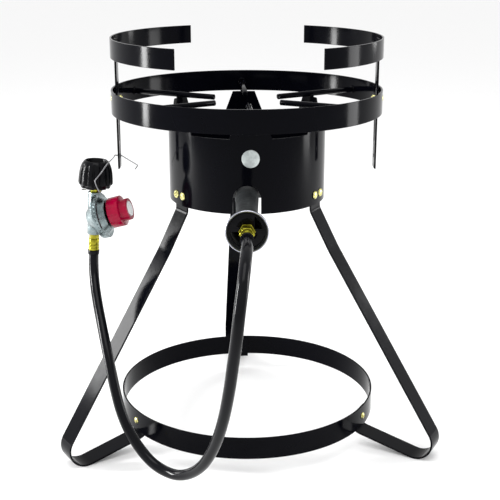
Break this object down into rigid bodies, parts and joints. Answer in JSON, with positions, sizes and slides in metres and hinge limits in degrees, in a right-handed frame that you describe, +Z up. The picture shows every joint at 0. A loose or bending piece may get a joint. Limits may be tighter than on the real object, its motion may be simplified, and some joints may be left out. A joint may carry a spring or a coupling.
{
  "type": "propane burner stand",
  "caption": "Tripod outdoor gas burner stand of bent flat bar, with rings, a windscreen, lifting pot guards, cast burner, hose and regulator.",
  "frame": {"origin": "the stand's vertical axis at floor level, where the three feet stand", "axes": "+Z up, -Y towards the burner's mouth and air shutter, +X to the right when facing the mouth"},
  "size_m": [0.6453, 0.8487, 0.6959],
  "materials": {
    "black_enamel": "glossy black enamel over steel",
    "badge_metal": "satin light grey, blank",
    "brass_plated": "yellow-passivated steel screw, satin",
    "cast_iron": "rough cast iron with black paint",
    "zinc_steel": "zinc-plated steel",
    "brass": "turned brass",
    "black_crimp": "black crimped sleeve",
    "hose_rubber": "smooth black gas hose rubber",
    "wire_steel": "galvanised wire",
    "zinc_cast": "die-cast zinc, satin with casting texture",
    "seal_rubber": "black seal rubber",
    "shutter_paint": "glossy black enamel",
    "red_plastic": "glossy crimson plastic",
    "knob_cap_white": "off-white plastic insert",
    "black_plastic": "moulded black plastic"
  },
  "bodies": {
    "stand": {"windscreen": "black_enamel", "badge_disc": "badge_metal", "top_ring": "black_enamel", "pot_rod_1": "black_enamel", "pot_rod_2": "black_enamel", "pot_rod_3": "black_enamel", "pot_rod_4": "black_enamel", "pot_rod_5": "black_enamel", "pot_rod_6": "black_enamel", "lower_ring": "black_enamel", "leg_right": "black_enamel", "leg_back": "black_enamel", "leg_left": "black_enamel", "leg_screws": "brass_plated", "leg_nuts": "brass_plated", "ring_screws": "brass_plated", "ring_nuts": "brass_plated", "guard_bolt_left": "brass_plated", "guard_bolt_right": "brass_plated", "guard_nut_left": "brass_plated", "guard_nut_right": "brass_plated", "burner_casting": "cast_iron", "burner_cap": "cast_iron", "burner_cap_screws": "zinc_steel", "burner_bracket": "black_enamel", "burner_bolt": "zinc_steel", "shutter_nut": "brass", "orifice_fitting": "brass", "swivel_nut": "brass", "hose_ferrule_burner": "brass", "hose_collar_burner": "black_crimp", "hose": "hose_rubber"},
    "guard_left": {"guard_arc_left": "black_enamel", "guard_strap_left": "black_enamel", "hanger_wire": "wire_steel", "hose_collar_regulator": "black_crimp", "hose_ferrule_regulator": "brass", "outlet_fitting": "brass", "regulator_body": "zinc_cast", "diaphragm": "seal_rubber", "regulator_cover": "zinc_cast", "pressure_spring": "zinc_steel", "spring_plate": "zinc_steel", "inlet_nipple": "brass", "inlet_o_ring": "seal_rubber"},
    "guard_right": {"guard_arc_right": "black_enamel", "guard_strap_right": "black_enamel"},
    "shutter": {"air_shutter": "shutter_paint"},
    "knob": {"pressure_knob": "red_plastic", "knob_cap": "knob_cap_white", "adjusting_screw": "brass"},
    "hand_nut": {"coupling_nut": "black_plastic"}
  },
  "joints": [
    {"name": "guard_left_lift", "type": "slide", "parent": "stand", "child": "guard_left", "axis": [0, 0, 1], "range_m": [0, 0.07]},
    {"name": "guard_right_lift", "type": "slide", "parent": "stand", "child": "guard_right", "axis": [0, 0, 1], "range_m": [0, 0.07]},
    {"name": "shutter_turn", "type": "hinge", "parent": "stand", "child": "shutter", "pos_m": [0, -0.32, 0.4485], "axis": [0, -1, 0], "range_deg": [0, 90]},
    {"name": "knob_turn", "type": "hinge", "parent": "guard_left", "child": "knob", "pos_m": [-0.25835, -0.062, 0.39901], "axis": [0.947, -0.1632, 0.2766], "range_deg": [0, 1080]},
    {"name": "hand_nut_spin", "type": "hinge", "parent": "guard_left", "child": "hand_nut", "pos_m": [-0.258, -0.062, 0.404], "axis": [0.0698, 0, 0.9976], "continuous": true}
  ]
}
